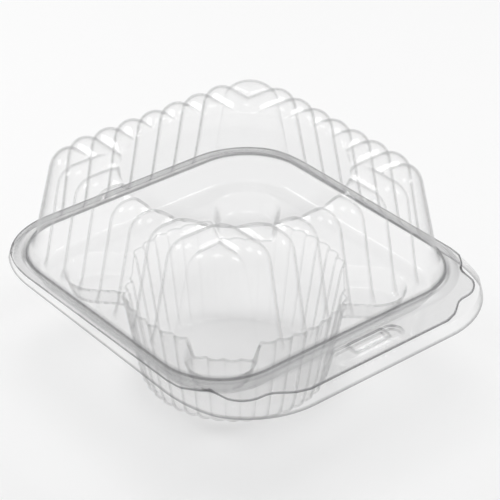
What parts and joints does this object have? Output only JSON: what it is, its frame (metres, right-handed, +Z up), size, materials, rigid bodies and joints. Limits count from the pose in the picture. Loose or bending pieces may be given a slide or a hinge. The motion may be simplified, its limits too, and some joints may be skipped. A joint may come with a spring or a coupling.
{
  "type": "hinged cupcake box",
  "caption": "Clear formed plastic box for a large cupcake: fluted well in a flanged tray, ribbed dome lid on a fold hinge, snap latch at the front.",
  "frame": {"origin": "centre of the underside of the well's floor, which rests on the table", "axes": "+Z up, -Y towards the latch, +Y towards the hinge, +X to the right seen from the latch"},
  "size_m": [0.1118, 0.1209, 0.0738],
  "materials": {
    "clear_sheet": "gloss"
  },
  "bodies": {
    "base": {"base_tray": "clear_sheet"},
    "lid": {"lid_dome": "clear_sheet"}
  },
  "joints": [
    {"name": "lid_hinge", "type": "hinge", "parent": "base", "child": "lid", "pos_m": [0, 0.0556, 0.03975], "axis": [-1, 0, 0], "range_deg": [0, 180]}
  ]
}
